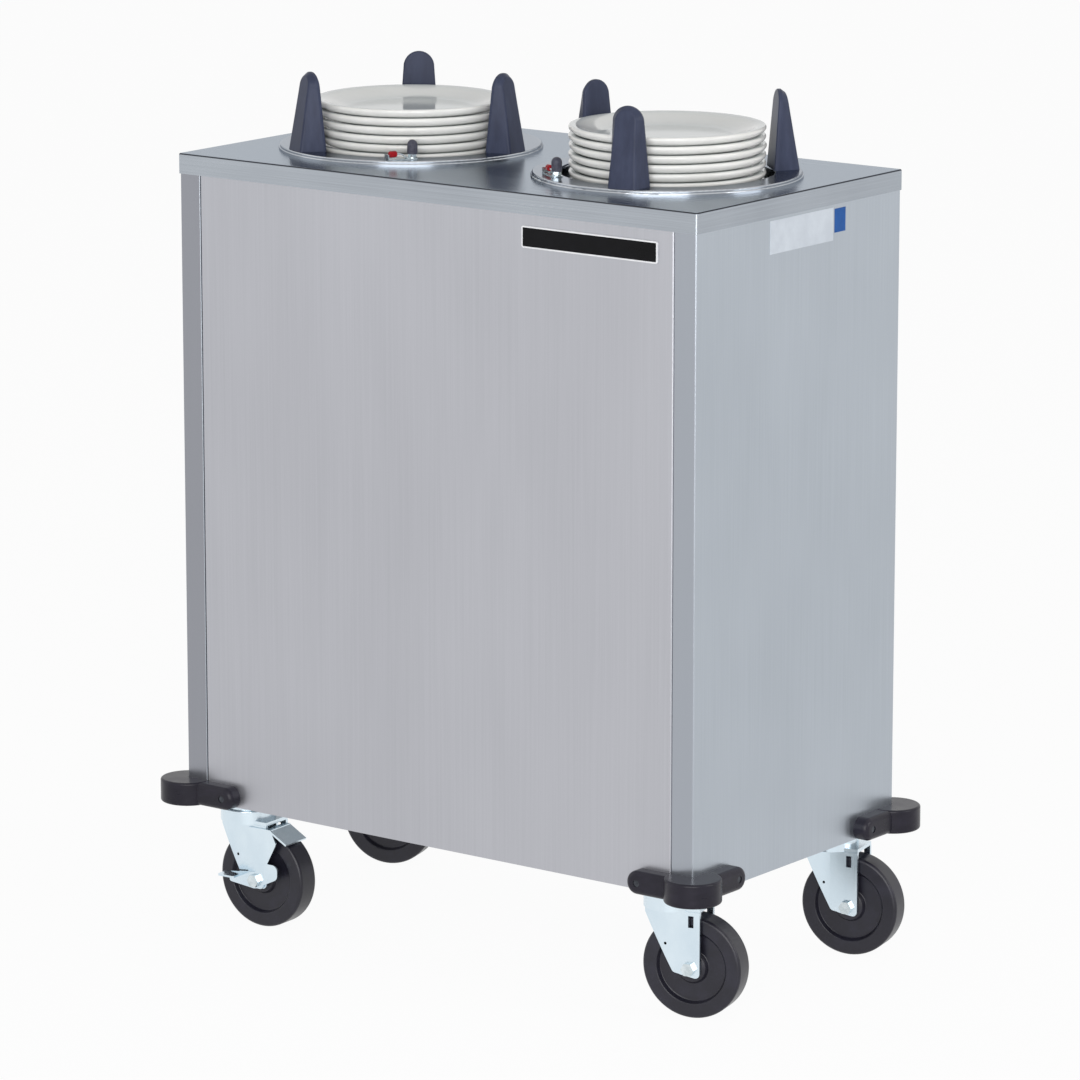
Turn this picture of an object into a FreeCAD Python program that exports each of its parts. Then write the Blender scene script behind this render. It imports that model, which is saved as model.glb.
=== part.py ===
import FreeCAD, Part
import math
import os
from FreeCAD import Vector

# Two-silo self-levelling plate dispenser cart.
# Millimetres. The floor is z = 0, the cabinet is centred on the origin,
# the front faces -Y and +X runs along the length to the right.

# Cabinet
body_length = 787.0
body_depth = 427.0
body_bottom = 160.0
body_height = 826.0
sheet = 1.2
bend_radius = 2.4
corner_flange = 31.75
panel_return = 12.0
seam = 0.7
clearance = 0.3

# Cap
skirt_height = 25.4
cap_corner_radius = 3.0
cap_edge_radius = 2.0
cutout_inset = 10.0

# Base
pan_rise = 6.0
pan_sheet = 2.0
pan_flange = 24.0
channel_width = 98.0
channel_height = 22.0

# Panel rivets
rivet_radius = 2.0
rivet_head_radius = 3.6
rivet_head_height = 1.2
rivet_rows = 5
rivet_end_margin = 60.0

# Corner bumpers
bumper_disc_radius = 35.0
bumper_disc_height = 30.0
bumper_disc_edge = 3.0
bumper_arm_length = 86.0
bumper_arm_proud = 19.0
bumper_arm_height = 29.0
bumper_arm_edge = 7.0
bumper_arm_end = 14.0
bumper_overlap_below = 2.0
bumper_arm_lift = 0.5
bumper_screw_inset = 16.0
bumper_screw_radius = 2.4
bumper_screw_head_radius = 4.4
bumper_screw_head_height = 2.6
bumper_screw_sunk = 3.6
bumper_screw_reach = 5.0

# Badge and labels, all blank
badge_length = 198.0
badge_height = 22.5
badge_thickness = 1.5
badge_right_inset = 55.5
badge_below_cap = 41.0
badge_edge = 2.0
label_length = 132.5
label_height = 40.0
label_thickness = 0.3
label_front_inset = 149.0
label_below_cap = 29.0
sticker_length = 23.0
sticker_height = 29.0
sticker_gap = 2.8
sticker_drop = 2.0

# Silos
silo_gap = 64.0
plate_clearance = 10.0
ring_width = 35.0
ring_height = 6.0
ring_sheet = 1.5
ring_step = 1.6
ring_step_height = 3.2
ring_edge_radius = 1.4
ring_hole_edge = 3.0
ring_collar = 14.0
groove_start = -42.0
groove_sweep = 112.0
groove_height = 1.0
groove_depth = 1.0
groove_tick = 2.0
groove_tick_pitch = 10.0
tube_bottom = 230.0
tube_clearance = 2.0
tube_flange_inset = 5.0

# Plate guides
guide_height = 96.5
guide_front_thickness = 4.5
guide_plate_gap = 7.0
guide_front_lean = 7.0
guide_outer_inset = 5.0
guide_base_width = 50.0
guide_arch_width = 39.0
guide_face_height = 92.0
guide_face_lean = 15.5
guide_face_base_width = 35.0
guide_face_arch_width = 26.0
guide_face_edge = 3.5
guide_rim_edge = 2.0
guide_screw_radius = 2.5
guide_screw_head_radius = 4.5
guide_screw_head_height = 2.2
guide_screw_depth = 14.0
guide_screw_spacing = 12.0

# Index lock on each ring
stud_radius = 2.5
stud_inset = 23.0
strap_width = 13.0
strap_reach = 34.0
strap_sheet = 1.2
strap_upturn = 6.0
nut_across_flats = 10.0
nut_height = 3.5
lock_cap_radius = 6.5
lock_cap_height = 17.5
lock_cap_bore_depth = 11.0
lever_thickness = 1.5
lever_eye_radius = 5.5
lever_width = 5.0
lever_reach = 29.5
lever_rise = 5.0
lever_rise_start = 8.0
lever_rise_length = 7.0
tip_radius = 4.0
tip_length = 11.5
running_gap = 0.05

# Self-levelling carrier and its springs
carrier_inset = 8.0
carrier_sheet = 2.0
carrier_rim = 10.0
carrier_drop = 175.0
carrier_bar_inset = 8.0
carrier_bar_width = 12.0
carrier_bar_thickness = 4.0
carrier_ring_width = 14.0
carrier_ring_height = 4.0
carrier_arm_width = 8.0
carrier_arm_end = 9.0
slot_clearance = 2.0
slot_bottom_margin = 16.0
slot_top_margin = 60.0
top_stop_below_cap = 30.0
arm_count = 3
first_arm_angle = 90.0
spring_radius = 7.0
spring_wire = 1.6
spring_clearance = 3.3
spring_hook_length = 9.0
spring_eye_radius = 3.2
spring_tab_below_cap = 20.0
spring_tab_width = 14.0
spring_tab_thickness = 3.0

# Plates
plate_radius = 120.0
plate_pitch = 11.0
plate_thickness = 4.6
plate_height = 23.5
plate_well_inset = 42.0
plate_foot_inset = 49.0
plate_foot_width = 6.0
plate_rim_height = 6.4
plate_rim_width = 7.0
plate_rim_roll = 2.9
plate_rim_blend = 2.3
plate_wall_blend = 6.0
plate_under_blend = 5.0
plate_foot_edge = 1.5
plate_foot_hollow = 0.8
top_rim_above_cap = 63.0

# Casters
caster_inset_x = 61.5
caster_inset_y = 44.5
caster_trail = 31.0
wheel_radius = 63.5
wheel_width = 32.0
wheel_edge = 4.0
wheel_recess_radius = 45.5
wheel_recess_depth = 5.5
wheel_recess_slope = 3.0
hub_radius = 18.0
hub_width = 35.0
hub_rim_radius = 11.0
hub_cone = 2.1
hub_edge = 1.0
wheel_recess_edge = 1.5
mount_length = 92.0
mount_width = 63.5
mount_plate = 4.0
mount_corner = 6.0
mount_bolt_x = 73.0
mount_bolt_y = 44.5
raceway_radius = 31.0
raceway_edge = 2.5
cup_radius = 35.0
cup_height = 12.5
cup_wall = 2.5
raceway_gap = 0.5
kingpin_radius = 6.0
kingpin_head_radius = 9.0
kingpin_head_height = 2.6
crown_thickness = 4.5
crown_clearance = 7.5
fork_gap = 38.0
leg_thickness = 3.5
leg_front = 14.0
leg_bottom_drop = 12.0
leg_bottom_length = 35.0
leg_bottom_rise = 6.0
leg_corner = 6.0
leg_curve_radius = 120.0
leg_curve_start = 8.0
leg_pad_thickness = 0.8
leg_pad_back = 12.0
leg_slot_width = 7.0
leg_slot_height = 14.5
leg_slot_from_front = 8.0
leg_slot_below_crown = 5.0
leg_hole_radius = 1.8
leg_hole_above_axle = 28.5
axle_radius = 5.0
axle_head_across = 15.0
axle_head_height = 5.5
axle_nut_height = 7.0
axle_end = 2.5
sleeve_radius = 7.0

# Caster bolts
caster_bolt_radius = 4.0
caster_bolt_across = 12.7
caster_bolt_head = 4.6
caster_nut_height = 6.0
caster_bolt_end = 2.0
hole_clearance = 0.3

# Wheel brakes
brake_sheet = 2.5
brake_eye_radius = 11.0
brake_pad_angle = 60.0
brake_pad_gap = 3.5
brake_pad_length = 30.0
brake_pad_overhang = 1.0
brake_travel = 3.4
brake_strap_width = 30.0
brake_tab_length = 15.0
cam_reach = 26.0
cam_rise = 15.0
cam_radius = 9.0
cam_edge = 8.0
pedal_reach = 40.0
pedal_length = 20.0
pedal_overhang = 5.0
pedal_corner = 2.5
pedal_width = 19.0
pedal_arm_height = 13.0

# Where things stand in the photograph, seen from above, in degrees
left_guides = {"front": -116.0, "right": 4.0, "back": 124.0}
right_guides = {"front": -74.0, "right": 46.0, "left": 166.0}
left_stud_angle = -51.0
right_stud_angle = -123.0
left_lever_turn = -70.0
right_lever_turn = -90.0
left_plate_count = 12
right_plate_count = 10
front_left_swivel = 3.0
front_right_swivel = 13.0
back_right_swivel = 12.0
back_left_swivel = 195.0

# Worked out from the sizes above
half_length = body_length / 2
half_depth = body_depth / 2
cap_top = body_bottom + body_height
cap_under = cap_top - sheet
panel_edge = half_length - corner_flange - seam
pan_under = body_bottom + pan_rise
pan_top = pan_under + pan_sheet
channel_web = pan_top + pan_sheet
pan_half_length = half_length - sheet - clearance
pan_half_depth = half_depth - panel_return - clearance
bumper_disc_bottom = body_bottom - bumper_overlap_below
bumper_arm_bottom = bumper_disc_bottom + bumper_arm_lift
bumper_screw_z = bumper_arm_bottom + bumper_arm_height / 2
bumper_screw_along = bumper_arm_length - bumper_screw_inset
ring_hole_radius = plate_radius + plate_clearance
ring_radius = ring_hole_radius + ring_width
silo_x = ring_radius + silo_gap / 2
cutout_radius = ring_radius - cutout_inset
ring_top = cap_top + ring_height
ring_under = ring_top - ring_sheet
tube_radius = ring_hole_radius + ring_sheet + tube_clearance
tube_flange_radius = ring_radius - tube_flange_inset
guide_inner_radius = plate_radius + guide_plate_gap
guide_outer_radius = ring_radius - guide_outer_inset
stud_from_centre = ring_radius - stud_inset
plate_well_radius = plate_radius - plate_well_inset
plate_foot_radius = plate_radius - plate_foot_inset
carrier_radius = plate_radius - carrier_inset
carrier_bar_radius = carrier_radius - carrier_bar_inset
spring_from_centre = tube_radius + sheet + spring_radius + spring_clearance
lever_low = ring_top + strap_sheet + running_gap
lever_top = lever_low + lever_thickness
carrier_arm_reach = spring_from_centre + carrier_arm_end
slot_width = carrier_arm_width + 2 * slot_clearance
spring_tab_top = cap_top - spring_tab_below_cap
top_plate_base = cap_top + top_rim_above_cap - plate_height
left_carrier_top = top_plate_base - (left_plate_count - 1) * plate_pitch
right_carrier_top = top_plate_base - (right_plate_count - 1) * plate_pitch
slot_bottom = tube_bottom + slot_bottom_margin
highest_carrier = cap_top - top_stop_below_cap
slot_top = highest_carrier - carrier_drop + slot_top_margin
caster_x = half_length - caster_inset_x
caster_y = half_depth - caster_inset_y
mount_top = pan_under
mount_under = mount_top - mount_plate
crown_under = 2 * wheel_radius + crown_clearance
crown_top = crown_under + crown_thickness
cup_top = crown_top + cup_height
kingpin_seat = mount_top - kingpin_head_height - 2 * clearance
leg_inner = fork_gap / 2
leg_outer = leg_inner + leg_thickness
pad_outer = leg_outer + leg_pad_thickness
brake_inner = pad_outer + clearance
brake_outer = brake_inner + brake_sheet
pedal_inner = brake_outer + clearance
pedal_outer = pedal_inner + brake_sheet

origin = Vector(0, 0, 0)
up = Vector(0, 0, 1)
hair = 1e-4


def block(low, high):
    return Part.makeBox(high[0] - low[0], high[1] - low[1], high[2] - low[2], Vector(*low))


def rod(radius, start, end):
    run = Vector(*end) - Vector(*start)
    return Part.makeCylinder(radius, run.Length, Vector(*start), run)


def disc(radius, low, high, x=0.0, y=0.0):
    return rod(radius, (x, y, low), (x, y, high))


def hexagon(across, base, height, x=0.0, y=0.0):
    corner = across / 2 / math.cos(math.radians(30))
    points = []
    for side in range(7):
        turn = math.radians(60 * side)
        points.append(Vector(x + corner * math.cos(turn), y + corner * math.sin(turn), base))
    return Part.Face(Part.makePolygon(points)).extrude(Vector(0, 0, height))


def flat(u, v):
    return Vector(u, v, 0)


def upright(u, v):
    return Vector(u, 0, v)


def outline(corners, place):
    # A closed wire through (u, v, radius) corners; place puts a (u, v) pair in space.
    stops = []
    for index, (u, v, radius) in enumerate(corners):
        here = flat(u, v)
        before = flat(*corners[index - 1][:2]) - here
        after = flat(*corners[(index + 1) % len(corners)][:2]) - here
        half = before.getAngle(after) / 2
        before.normalize()
        after.normalize()
        reach = radius / math.tan(half)
        middle = before + after
        if radius:
            middle.normalize()
            middle = here + middle * (radius / math.sin(half) - radius)
        stops.append((here + before * reach, middle, here + after * reach, radius))
    edges = []
    for index, (enter, middle, leave, radius) in enumerate(stops):
        last = stops[index - 1][2]
        if (enter - last).Length > hair:
            edges.append(Part.makeLine(place(last.x, last.y), place(enter.x, enter.y)))
        if radius:
            points = [place(point.x, point.y) for point in (enter, middle, leave)]
            edges.append(Part.Arc(*points).toShape())
    return Part.Wire(edges)


def square(*points):
    return [(u, v, 0) for u, v in points]


def turned(corners):
    return Part.Face(outline(corners, upright)).revolve(origin, up, 360)


def standing(corners, low, high):
    # A plan outline raised from low to high.
    face = Part.Face(outline(corners, lambda u, v: Vector(u, v, low)))
    return face.extrude(Vector(0, 0, high - low))


def plate_cut(corners, near, far):
    # A side-view outline (x, z) given its thickness along Y.
    face = Part.Face(outline(corners, lambda u, v: Vector(u, near, v)))
    return face.extrude(Vector(0, far - near, 0))


def turn(shape, degrees, x=0.0, y=0.0):
    turned_shape = shape.copy()
    turned_shape.rotate(Vector(x, y, 0), up, degrees)
    return turned_shape


def shift(shape, x=0.0, y=0.0, z=0.0):
    moved = shape.copy()
    moved.translate(Vector(x, y, z))
    return moved


def flip_x(shape):
    return shape.mirror(origin, Vector(1, 0, 0))


def flip_y(shape):
    return shape.mirror(origin, Vector(0, 1, 0))


def polar(radius, degrees):
    angle = math.radians(degrees)
    return radius * math.cos(angle), radius * math.sin(angle)


def edges_at(shape, test):
    # Edges whose two end points and middle all pass the test.
    chosen = []
    for edge in shape.Edges:
        spots = [edge.valueAt(edge.FirstParameter), edge.valueAt(edge.LastParameter)]
        spots.append(edge.valueAt((edge.FirstParameter + edge.LastParameter) / 2))
        if all(test(spot) for spot in spots):
            chosen.append(edge)
    return chosen


def near(a, b):
    return abs(a - b) < hair


def level(edge):
    return edge.BoundBox.ZLength < hair


def fuse(*shapes):
    return shapes[0].fuse(list(shapes[1:])).removeSplitter()


def cut(shape, *tools):
    return shape.cut(list(tools))


# Cabinet panels


def tray_section(half_width, depth, radius):
    # Plan of a flat sheet at y = 0 whose two side edges turn back by depth.
    inner = half_width - sheet
    inside = radius - sheet
    return [
        (-half_width, depth, 0),
        (-half_width, 0, radius),
        (half_width, 0, radius),
        (half_width, depth, 0),
        (inner, depth, 0),
        (inner, sheet, inside),
        (-inner, sheet, inside),
        (-inner, depth, 0),
    ]


def rivet_heights():
    low = body_bottom + rivet_end_margin
    step = (cap_under - rivet_end_margin - low) / (rivet_rows - 1)
    return [low + row * step for row in range(rivet_rows)]


def rivet_spots(side):
    y = -half_depth + panel_return / 2 + bend_radius / 2
    return [(side * (panel_edge + seam / 2), y, z) for z in rivet_heights()]


def along_x(radius, spot, half_run):
    return rod(radius, (spot[0] - half_run, spot[1], spot[2]), (spot[0] + half_run, spot[1], spot[2]))


def front_screw_spots():
    reach = half_length - bumper_screw_along
    return [(side * reach, -half_depth, bumper_screw_z) for side in (-1, 1)]


def side_screw_spots():
    reach = half_depth - bumper_screw_along
    return [(half_length, side * reach, bumper_screw_z) for side in (-1, 1)]


def front_panel():
    face = standing(tray_section(panel_edge, panel_return, bend_radius), body_bottom, cap_under)
    lip = block(
        (-panel_edge + bend_radius, 0, body_bottom),
        (panel_edge - bend_radius, panel_return, body_bottom + sheet),
    )
    top = shift(lip, z=cap_under - body_bottom - sheet)
    panel = shift(fuse(face, lip, top), y=-half_depth)
    holes = [along_x(rivet_radius + running_gap, spot, panel_return / 2)
             for side in (-1, 1) for spot in rivet_spots(side)]
    for x, y, z in front_screw_spots():
        holes.append(rod(bumper_screw_radius + running_gap, (x, y - sheet, z), (x, y + 2 * sheet, z)))
    return cut(panel, *holes)


def side_section():
    flange = half_length - corner_flange
    inside = bend_radius - sheet
    outer = [
        (flange, -half_depth + panel_return, 0),
        (flange, -half_depth, inside),
        (half_length, -half_depth, bend_radius),
        (half_length, half_depth, bend_radius),
        (flange, half_depth, inside),
        (flange, half_depth - panel_return, 0),
    ]
    inner = [
        (flange + sheet, half_depth - panel_return, 0),
        (flange + sheet, half_depth - sheet, 0),
        (half_length - sheet, half_depth - sheet, inside),
        (half_length - sheet, -half_depth + sheet, inside),
        (flange + sheet, -half_depth + sheet, 0),
        (flange + sheet, -half_depth + panel_return, 0),
    ]
    return outer + inner


def right_side_panel():
    panel = standing(side_section(), body_bottom, cap_under)
    holes = []
    for x, y, z in rivet_spots(1):
        for spot in ((x, y, z), (x, -y, z)):
            holes.append(along_x(rivet_radius + running_gap, spot, panel_return / 2))
    for x, y, z in side_screw_spots():
        holes.append(rod(bumper_screw_radius + running_gap, (x - 2 * sheet, y, z), (x + sheet, y, z)))
    return cut(panel, *holes)


def panel_rivets():
    # A pop rivet through each pair of touching panel returns.
    rivets = []
    for side in (-1, 1):
        for spot in rivet_spots(side):
            far = half_length - corner_flange + sheet
            close = panel_edge - sheet
            x, y, z = spot
            shank = rod(rivet_radius, (close, y, z), (far, y, z))
            heads = [
                rod(rivet_head_radius, (close - rivet_head_height, y, z), (close, y, z)),
                rod(rivet_head_radius, (far, y, z), (far + rivet_head_height, y, z)),
            ]
            rivet = fuse(shank, *heads)
            rivets.append(rivet if side > 0 else flip_x(rivet))
    return rivets + [flip_y(rivet) for rivet in rivets]


def top_cap():
    outer_x = half_length + clearance + sheet
    outer_y = half_depth + clearance + sheet
    low = cap_top - skirt_height
    shell = block((-outer_x, -outer_y, low), (outer_x, outer_y, cap_top))
    shell = shell.makeFillet(cap_corner_radius, edges_at(shell, lambda p: near(abs(p.x), outer_x)
                                                         and near(abs(p.y), outer_y)))
    shell = shell.makeFillet(cap_edge_radius, edges_at(shell, lambda p: near(p.z, cap_top)))
    inner_x = outer_x - sheet
    inner_y = outer_y - sheet
    hollow = block((-inner_x, -inner_y, low - sheet), (inner_x, inner_y, cap_under))
    inner_corner = cap_corner_radius - sheet
    hollow = hollow.makeFillet(inner_corner, edges_at(hollow, lambda p: near(abs(p.x), inner_x)
                                                      and near(abs(p.y), inner_y)))
    holes = [disc(cutout_radius, low, cap_top + sheet, x=side * silo_x) for side in (-1, 1)]
    return cut(shell, hollow, *holes)


def base_pan():
    outer = block((-pan_half_length, -pan_half_depth, pan_under),
                  (pan_half_length, pan_half_depth, pan_top + pan_flange))
    outer = outer.makeFillet(bend_radius, edges_at(outer, lambda p: near(p.z, pan_under)))
    inner = block((-pan_half_length + pan_sheet, -pan_half_depth + pan_sheet, pan_top),
                  (pan_half_length - pan_sheet, pan_half_depth - pan_sheet, cap_top))
    holes = [rod(bumper_screw_radius + running_gap, (-half_length, y, z), (half_length, y, z))
             for _, y, z in side_screw_spots()]
    return cut(outer, inner, *holes, *caster_bolt_holes(pan_under - pan_sheet, pan_top + pan_sheet))


def base_channels():
    half = channel_width / 2
    inside = half - pan_sheet
    run = pan_half_depth - pan_sheet - clearance
    section = square((-half, pan_top + channel_height), (-half, pan_top), (half, pan_top),
                     (half, pan_top + channel_height), (inside, pan_top + channel_height),
                     (inside, channel_web), (-inside, channel_web),
                     (-inside, pan_top + channel_height))
    channel = plate_cut(section, -run, run)
    holes = caster_bolt_holes(pan_top - pan_sheet, channel_web + pan_sheet)
    return [cut(shift(channel, x=side * caster_x), *holes) for side in (-1, 1)]


# Corner bumpers


def bumper_arm():
    # One arm of the front right bumper, along the front face, with a round end seen from the front.
    low = bumper_arm_bottom
    high = low + bumper_arm_height
    end = half_length - bumper_arm_length
    face = -half_depth - bumper_arm_proud
    arm = plate_cut([(end, low, bumper_arm_end), (half_length, low, 0), (half_length, high, 0),
                     (end, high, bumper_arm_end)], face, -half_depth)
    return arm.makeFillet(bumper_arm_edge, edges_at(arm, lambda p: near(p.y, face)))


def front_right_bumper():
    arm = bumper_arm()
    # The second arm is the first one mirrored in the corner's diagonal.
    corner = Vector(half_length, -half_depth, 0)
    other = arm.mirror(corner, Vector(1, 1, 0))
    pad = disc(bumper_disc_radius, bumper_disc_bottom, bumper_disc_bottom + bumper_disc_height,
               half_length, -half_depth)
    rims = [edge for edge in pad.Edges if edge.Closed]
    pad = pad.makeFillet(bumper_disc_edge, rims)
    body = block((0, -half_depth, 0), (half_length, 0, cap_top))
    screw_x = half_length - bumper_screw_along
    screw_y = -half_depth + bumper_screw_along
    front = -half_depth - bumper_arm_proud
    side = half_length + bumper_arm_proud
    holes = [
        rod(bumper_screw_radius + running_gap, (screw_x, front, bumper_screw_z),
            (screw_x, 0, bumper_screw_z)),
        rod(bumper_screw_head_radius + running_gap, (screw_x, front - sheet, bumper_screw_z),
            (screw_x, front + bumper_screw_sunk, bumper_screw_z)),
        rod(bumper_screw_radius + running_gap, (side, screw_y, bumper_screw_z),
            (0, screw_y, bumper_screw_z)),
        rod(bumper_screw_head_radius + running_gap, (side + sheet, screw_y, bumper_screw_z),
            (side - bumper_screw_sunk, screw_y, bumper_screw_z)),
    ]
    return cut(fuse(pad, arm, other), body, *holes)


def bumper_screws():
    screw_x = half_length - bumper_screw_along
    screw_y = -half_depth + bumper_screw_along
    seat = bumper_arm_proud - bumper_screw_sunk
    head = seat + bumper_screw_head_height
    front = fuse(
        rod(bumper_screw_radius, (screw_x, -half_depth + bumper_screw_reach, bumper_screw_z),
            (screw_x, -half_depth - seat, bumper_screw_z)),
        rod(bumper_screw_head_radius, (screw_x, -half_depth - seat, bumper_screw_z),
            (screw_x, -half_depth - head, bumper_screw_z)),
    )
    side = fuse(
        rod(bumper_screw_radius, (half_length - bumper_screw_reach, screw_y, bumper_screw_z),
            (half_length + seat, screw_y, bumper_screw_z)),
        rod(bumper_screw_head_radius, (half_length + seat, screw_y, bumper_screw_z),
            (half_length + head, screw_y, bumper_screw_z)),
    )
    right = [front, side, flip_y(front), flip_y(side)]
    return right + [flip_x(screw) for screw in right]


# Badge and labels


def badge_plate():
    right = half_length - badge_right_inset
    top = cap_top - badge_below_cap
    plate = block((right - badge_length, -half_depth - badge_thickness, top - badge_height),
                  (right, -half_depth, top))
    corners = [edge for edge in plate.Edges if edge.BoundBox.YLength > badge_thickness / 2]
    return plate.makeFillet(badge_edge, corners)


def rating_label():
    front = -half_depth + label_front_inset
    top = cap_top - label_below_cap
    return block((half_length, front, top - label_height),
                 (half_length + label_thickness, front + label_length, top))


def inspection_sticker():
    front = -half_depth + label_front_inset + label_length + sticker_gap
    top = cap_top - label_below_cap - sticker_drop
    return block((half_length, front, top - sticker_height),
                 (half_length + label_thickness, front + sticker_length, top))


# Silos, built round the Z axis and moved to their place


def ring_section():
    low = ring_step_height
    return [
        (ring_hole_radius, cap_top - ring_collar, 0),
        (ring_hole_radius + ring_sheet, cap_top - ring_collar, 0),
        (ring_hole_radius + ring_sheet, ring_under, ring_hole_edge - ring_sheet),
        (ring_radius - ring_step - ring_sheet, ring_under, 0),
        (ring_radius - ring_step - ring_sheet, cap_top, 0),
        (ring_radius, cap_top, 0),
        (ring_radius, cap_top + low, ring_edge_radius),
        (ring_radius - ring_step, cap_top + low, 0),
        (ring_radius - ring_step, ring_top, ring_edge_radius),
        (ring_hole_radius, ring_top, ring_hole_edge),
    ]


def guide_screw_radii():
    # The first screw's head just clears the rounded edge of the hole.
    first = ring_hole_radius + ring_hole_edge + guide_screw_head_radius + clearance
    return (first, first + guide_screw_spacing)


def index_groove(stud_angle):
    # Dashes of a narrow groove round the step, seen along a stretch counted from the lock stud.
    low = cap_top + ring_step_height
    high = low + groove_height
    floor = ring_radius - ring_step - groove_depth
    sector = Part.makeCylinder(ring_radius, groove_height, Vector(0, 0, low), up, groove_sweep)
    ticks = []
    for index in range(1, round(groove_sweep / groove_tick_pitch)):
        tick = block((floor - sheet, -groove_tick / 2, low - sheet),
                     (ring_radius, groove_tick / 2, high + sheet))
        ticks.append(turn(tick, index * groove_tick_pitch))
    groove = cut(sector, disc(floor, low - sheet, high + sheet), *ticks)
    return turn(groove, stud_angle + groove_start)


def flange_ring(guide_angles, stud_angle, grooved):
    ring = turned(ring_section())
    tools = [disc(stud_radius + running_gap, ring_under - sheet, ring_top + sheet,
                  *polar(stud_from_centre, stud_angle))]
    for angle in guide_angles:
        for radius in guide_screw_radii():
            tools.append(disc(guide_screw_radius + running_gap, ring_under - sheet, ring_top + sheet,
                              *polar(radius, angle)))
    if grooved:
        tools.append(index_groove(stud_angle))
    return cut(ring, *tools)


def silo_tube():
    outer = tube_radius + sheet
    wall = disc(outer, tube_bottom, cap_top).cut(disc(tube_radius, tube_bottom - sheet, cap_top + sheet))
    flange = disc(tube_flange_radius, cap_top, cap_top + sheet)
    flange = flange.cut(disc(tube_radius, cap_top - sheet, cap_top + 2 * sheet))
    tab = block((tube_radius + sheet / 2, -spring_tab_width / 2, spring_tab_top - spring_tab_thickness),
                (spring_from_centre + spring_radius, spring_tab_width / 2, spring_tab_top))
    tab = tab.cut(disc(spring_wire + clearance, spring_tab_top - 2 * spring_tab_thickness,
                       spring_tab_top + sheet, spring_from_centre, 0))
    slot = block((tube_radius - sheet, -slot_width / 2, slot_bottom),
                 (outer + sheet, slot_width / 2, slot_top))
    tube = fuse(wall, flange, *[turn(tab, angle) for angle in arm_angles()])
    return cut(tube, *[turn(slot, angle) for angle in arm_angles()])


def arm_angles():
    return [first_arm_angle + index * 360 / arm_count for index in range(arm_count)]


def arch(base_width, arch_width, height, x, lean=0.0):
    # Straight foot, tapering sides and a round top, standing across X and leaning back by lean.
    base = base_width / 2
    top = arch_width / 2
    spots = [(-base, 0), (base, 0), (top, height - top), (0, height), (-top, height - top)]
    points = [Vector(x - lean * v, u, ring_top + v) for u, v in spots]
    return Part.Wire([
        Part.makeLine(points[0], points[1]),
        Part.makeLine(points[1], points[2]),
        Part.Arc(*points[2:]).toShape(),
        Part.makeLine(points[4], points[0]),
    ])


def plate_guide():
    # Upright wedge: arched face leaning away from the plates, narrower face outside leaning back.
    front_lean = guide_front_lean / guide_height
    back_lean = guide_face_lean / guide_face_height
    front = [arch(guide_base_width, guide_arch_width, guide_height, x, -front_lean)
             for x in (guide_inner_radius, guide_inner_radius + guide_front_thickness)]
    outside = arch(guide_face_base_width, guide_face_arch_width, guide_face_height,
                   guide_outer_radius, back_lean)
    slab = Part.Face(front[0]).extrude(Vector(guide_front_thickness, 0, 0))
    guide = fuse(slab, Part.makeLoft([front[1], outside], True, True))
    face = edges_at(guide, lambda p: near(p.x, guide_outer_radius - back_lean * (p.z - ring_top)))
    guide = guide.makeFillet(guide_face_edge, [edge for edge in face if not level(edge)])
    rim = edges_at(guide, lambda p: near(p.x, guide_inner_radius + front_lean * (p.z - ring_top)))
    guide = guide.makeFillet(guide_rim_edge, [edge for edge in rim if not level(edge)])
    holes = [disc(guide_screw_radius + running_gap, ring_top - sheet,
                  ring_top + guide_screw_depth + clearance, radius, 0)
             for radius in guide_screw_radii()]
    return cut(guide, *holes)


def guide_screws(angles):
    screws = []
    for angle in angles:
        for radius in guide_screw_radii():
            x, y = polar(radius, angle)
            shank = disc(guide_screw_radius, ring_under - hair, ring_top + guide_screw_depth, x, y)
            head = disc(guide_screw_head_radius, ring_under - guide_screw_head_height, ring_under, x, y)
            screws.append(fuse(shank, head))
    return screws


def lock_strap():
    # Sheet strap under the lever, along +X from the stud, turned up at its far end.
    back = strap_width / 2
    low = ring_top
    high = low + strap_sheet
    sole = standing([(-back, -back, back / 2), (strap_reach, -back, 0), (strap_reach, back, 0),
                     (-back, back, back / 2)], low, high)
    upturn = block((strap_reach - strap_sheet, -back, low), (strap_reach, back, high + strap_upturn))
    hole = disc(stud_radius + running_gap, low - sheet, high + sheet)
    return cut(fuse(sole, upturn), hole)


def lock_stud():
    # The stud with its nut; the lever turns between the strap and the nut.
    nut_base = lever_top + running_gap
    nut_top = nut_base + nut_height
    stud = disc(stud_radius, ring_under - guide_screw_head_height, nut_top + lock_cap_bore_depth)
    head = disc(guide_screw_head_radius, ring_under - guide_screw_head_height, ring_under)
    return fuse(stud, head, hexagon(nut_across_flats, nut_base, nut_height))


def lock_cap():
    base = lever_top + running_gap + nut_height
    middle = base + lock_cap_height - lock_cap_radius
    dome = Part.makeSphere(lock_cap_radius, Vector(0, 0, middle))
    bore = disc(stud_radius + running_gap, base - sheet, base + lock_cap_bore_depth + clearance)
    return cut(fuse(disc(lock_cap_radius, base, middle), dome), bore)


def lock_lever():
    # Lies along +X from the stud and steps up towards its end.
    half = lever_width / 2
    end = lever_rise_start + lever_rise_length
    eye = disc(lever_eye_radius, lever_low, lever_top)
    arm = plate_cut(square((0, lever_low), (lever_rise_start, lever_low),
                           (end, lever_low + lever_rise), (lever_reach, lever_low + lever_rise),
                           (lever_reach, lever_top + lever_rise), (end, lever_top + lever_rise),
                           (lever_rise_start, lever_top), (0, lever_top)), -half, half)
    return cut(fuse(eye, arm), disc(stud_radius + running_gap, lever_low - sheet, lever_top + sheet))


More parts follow.
